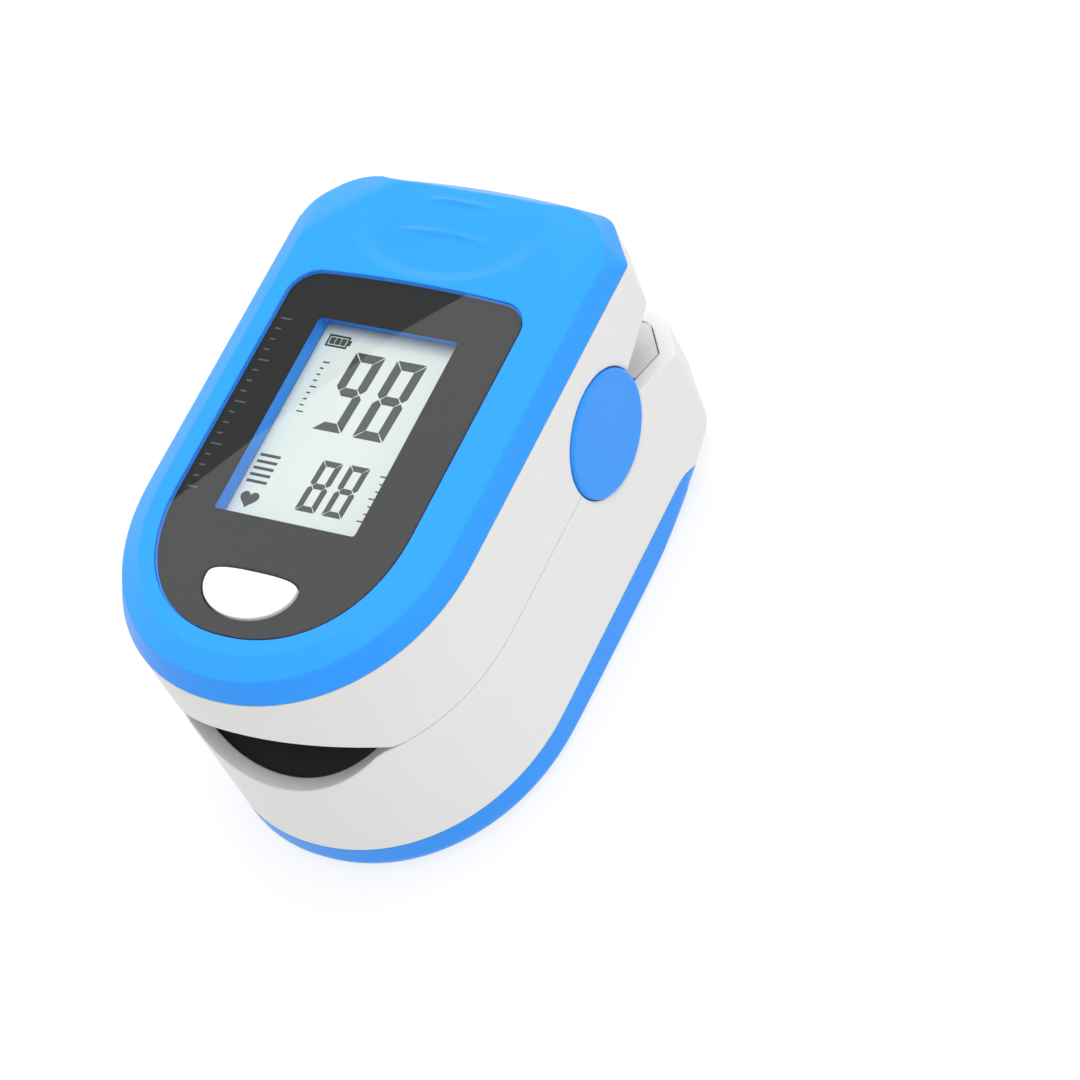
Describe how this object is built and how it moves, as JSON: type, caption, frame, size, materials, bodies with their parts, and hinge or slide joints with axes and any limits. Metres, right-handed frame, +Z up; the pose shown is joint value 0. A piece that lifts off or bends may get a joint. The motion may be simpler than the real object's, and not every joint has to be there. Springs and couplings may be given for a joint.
{
  "type": "fingertip pulse oximeter",
  "caption": "Sprung two-jaw fingertip clip with a display window, power button, silicone-lined finger channel and a sliding battery door underneath.",
  "frame": {"origin": "on the ground, under the middle of the body's bounding box", "axes": "+X to the right-hand side, +Y towards the pinch end (the finger enters from -Y), +Z up through the display"},
  "size_m": [0.0354, 0.0582, 0.032],
  "materials": {
    "blue_plastic": "satin moulded ABS, fine grain",
    "white_plastic": "satin moulded ABS, fine grain",
    "button_white": "polished",
    "grey_plastic": "fine matt texture",
    "clear_lens": "polished clear acrylic",
    "black_film": "printed backing film",
    "lcd_glass": "reflective liquid crystal display",
    "diffuser": "milky diffuser",
    "frame_white": "moulded",
    "zebra_rubber": "layered conductive rubber",
    "board_green": "solder mask on glass fibre",
    "chip_black": "moulded epoxy",
    "component_ceramic": "ceramic chips",
    "switch_metal": "plated",
    "steel": "bright drawn steel",
    "spring_nickel": "nickel plated",
    "silicone": "soft matt silicone",
    "clear_window": "clear resin",
    "led_white": "moulded package",
    "battery_wrap": "plain printed cell wrap",
    "polyimide": "amber polyimide film"
  },
  "bodies": {
    "lower": {"lower_housing": "white_plastic", "finger_tray": "grey_plastic", "lower_finger_pad": "silicone", "lower_sensor_window": "clear_window", "emitter_board": "board_green", "emitter_led": "led_white", "tray_screws": "steel", "battery_left": "battery_wrap", "battery_right": "battery_wrap", "battery_springs": "spring_nickel", "battery_contact_plates": "spring_nickel", "hinge_pin": "steel", "hinge_cap_left": "blue_plastic", "hinge_cap_right": "blue_plastic", "torsion_spring": "steel", "ribbon_cable": "polyimide"},
    "upper": {"top_cover": "blue_plastic", "display_lens": "clear_lens", "lens_film": "black_film", "lcd_panel": "lcd_glass", "lcd_backlight": "diffuser", "lcd_frame": "frame_white", "lcd_connector_strips": "zebra_rubber", "main_pcb": "board_green", "microcontroller": "chip_black", "pcb_components": "component_ceramic", "tact_switch_body": "switch_metal", "pcb_screws": "steel", "upper_housing": "white_plastic", "upper_finger_pad": "silicone", "upper_sensor_window": "clear_window", "photodiode": "chip_black", "photodiode_board": "board_green"},
    "button": {"power_button": "button_white"},
    "plunger": {"switch_plunger": "chip_black"},
    "door": {"battery_door": "blue_plastic"}
  },
  "joints": [
    {"name": "clip_hinge", "type": "hinge", "parent": "lower", "child": "upper", "pos_m": [0, 0.0109, 0.0188], "axis": [-1, 0, 0], "range_deg": [0, 30], "stiffness_Nm_per_rad": 0.08, "springref_deg": -25.78, "deforming": ["torsion_spring", "ribbon_cable"]},
    {"name": "button_press", "type": "slide", "parent": "upper", "child": "button", "axis": [0, 0, -1], "range_m": [0, 0.0004], "stiffness_N_per_m": 20, "springref_m": -0.002},
    {"name": "plunger_press", "type": "slide", "parent": "upper", "child": "plunger", "axis": [0, 0, -1], "range_m": [0, 0.0004]},
    {"name": "door_slide", "type": "slide", "parent": "lower", "child": "door", "axis": [0, -1, 0], "range_m": [0, 0.055]}
  ],
  "couplings": [
    {"joint": "plunger_press", "follows": "button_press", "ratio": 1}
  ]
}
